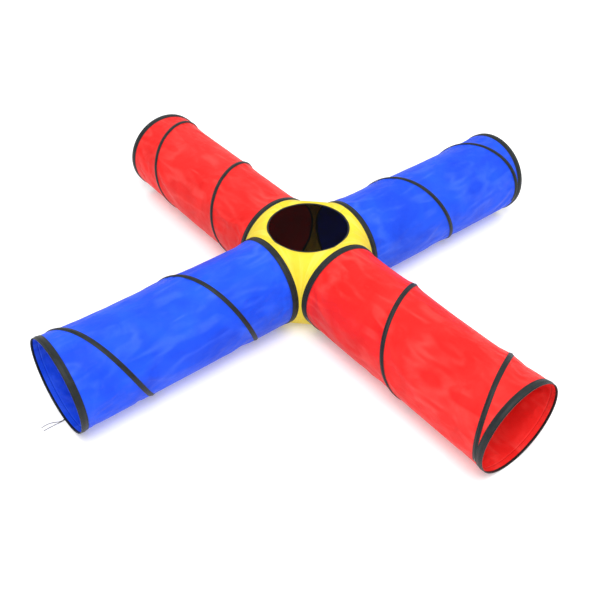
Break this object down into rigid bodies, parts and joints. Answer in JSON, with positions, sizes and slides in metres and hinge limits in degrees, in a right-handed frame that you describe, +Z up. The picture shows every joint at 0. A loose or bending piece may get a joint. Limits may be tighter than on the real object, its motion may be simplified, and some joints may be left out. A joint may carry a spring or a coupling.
{
  "type": "four-way agility tunnel",
  "caption": "Pop-up fabric crawl tunnel for dogs: four coil-sprung arms meet in a hub with a mesh peephole on top, and each arm collapses towards the hub.",
  "frame": {"origin": "on the floor under the hub's centre", "axes": "+Z up; the blue arms lie along X and the red arms along Y; +X and +Y are the rear arms"},
  "size_m": [2.9832, 2.878, 0.48],
  "materials": {
    "blue_taffeta": "satin",
    "red_taffeta": "satin",
    "yellow_taffeta": "satin",
    "black_binding": "matte",
    "window_net": "matte",
    "spring_steel": "satin",
    "tie_cord": "matte"
  },
  "bodies": {
    "hub": {"hub_floor_panel": "yellow_taffeta", "hub_corner_rear": "yellow_taffeta", "hub_corner_left": "yellow_taffeta", "hub_corner_front": "yellow_taffeta", "hub_corner_right": "yellow_taffeta", "peephole_binding": "black_binding", "peephole_mesh": "window_net", "blue_rear_sleeve": "blue_taffeta", "blue_rear_coil_wire": "spring_steel", "blue_rear_coil_tape": "black_binding", "blue_rear_hub_hoop_wire": "spring_steel", "blue_rear_hub_hoop_binding": "black_binding", "red_rear_sleeve": "red_taffeta", "red_rear_coil_wire": "spring_steel", "red_rear_coil_tape": "black_binding", "red_rear_hub_hoop_wire": "spring_steel", "red_rear_hub_hoop_binding": "black_binding", "blue_front_sleeve": "blue_taffeta", "blue_front_coil_wire": "spring_steel", "blue_front_coil_tape": "black_binding", "blue_front_hub_hoop_wire": "spring_steel", "blue_front_hub_hoop_binding": "black_binding", "red_front_sleeve": "red_taffeta", "red_front_coil_wire": "spring_steel", "red_front_coil_tape": "black_binding", "red_front_hub_hoop_wire": "spring_steel", "red_front_hub_hoop_binding": "black_binding"},
    "blue_rear_mouth": {"blue_rear_mouth_wire": "spring_steel", "blue_rear_mouth_binding": "black_binding"},
    "red_rear_mouth": {"red_rear_mouth_wire": "spring_steel", "red_rear_mouth_binding": "black_binding"},
    "blue_front_mouth": {"blue_front_mouth_wire": "spring_steel", "blue_front_mouth_binding": "black_binding", "tie_knot": "tie_cord", "tie_tail_left": "tie_cord", "tie_tail_right": "tie_cord"},
    "red_front_mouth": {"red_front_mouth_wire": "spring_steel", "red_front_mouth_binding": "black_binding"}
  },
  "joints": [
    {"name": "blue_rear_collapse", "type": "slide", "parent": "hub", "child": "blue_rear_mouth", "axis": [-1, 0, 0], "range_m": [0, 1.08], "stiffness_N_per_m": 15, "springref_m": -0.05, "deforming": ["blue_rear_sleeve", "blue_rear_coil_wire", "blue_rear_coil_tape"]},
    {"name": "red_rear_collapse", "type": "slide", "parent": "hub", "child": "red_rear_mouth", "axis": [0, -1, 0], "range_m": [0, 1.08], "stiffness_N_per_m": 15, "springref_m": -0.05, "deforming": ["red_rear_sleeve", "red_rear_coil_wire", "red_rear_coil_tape"]},
    {"name": "blue_front_collapse", "type": "slide", "parent": "hub", "child": "blue_front_mouth", "axis": [1, 0, 0], "range_m": [0, 1.08], "stiffness_N_per_m": 15, "springref_m": -0.05, "deforming": ["blue_front_sleeve", "blue_front_coil_wire", "blue_front_coil_tape"]},
    {"name": "red_front_collapse", "type": "slide", "parent": "hub", "child": "red_front_mouth", "axis": [0, 1, 0], "range_m": [0, 1.08], "stiffness_N_per_m": 15, "springref_m": -0.05, "deforming": ["red_front_sleeve", "red_front_coil_wire", "red_front_coil_tape"]}
  ]
}
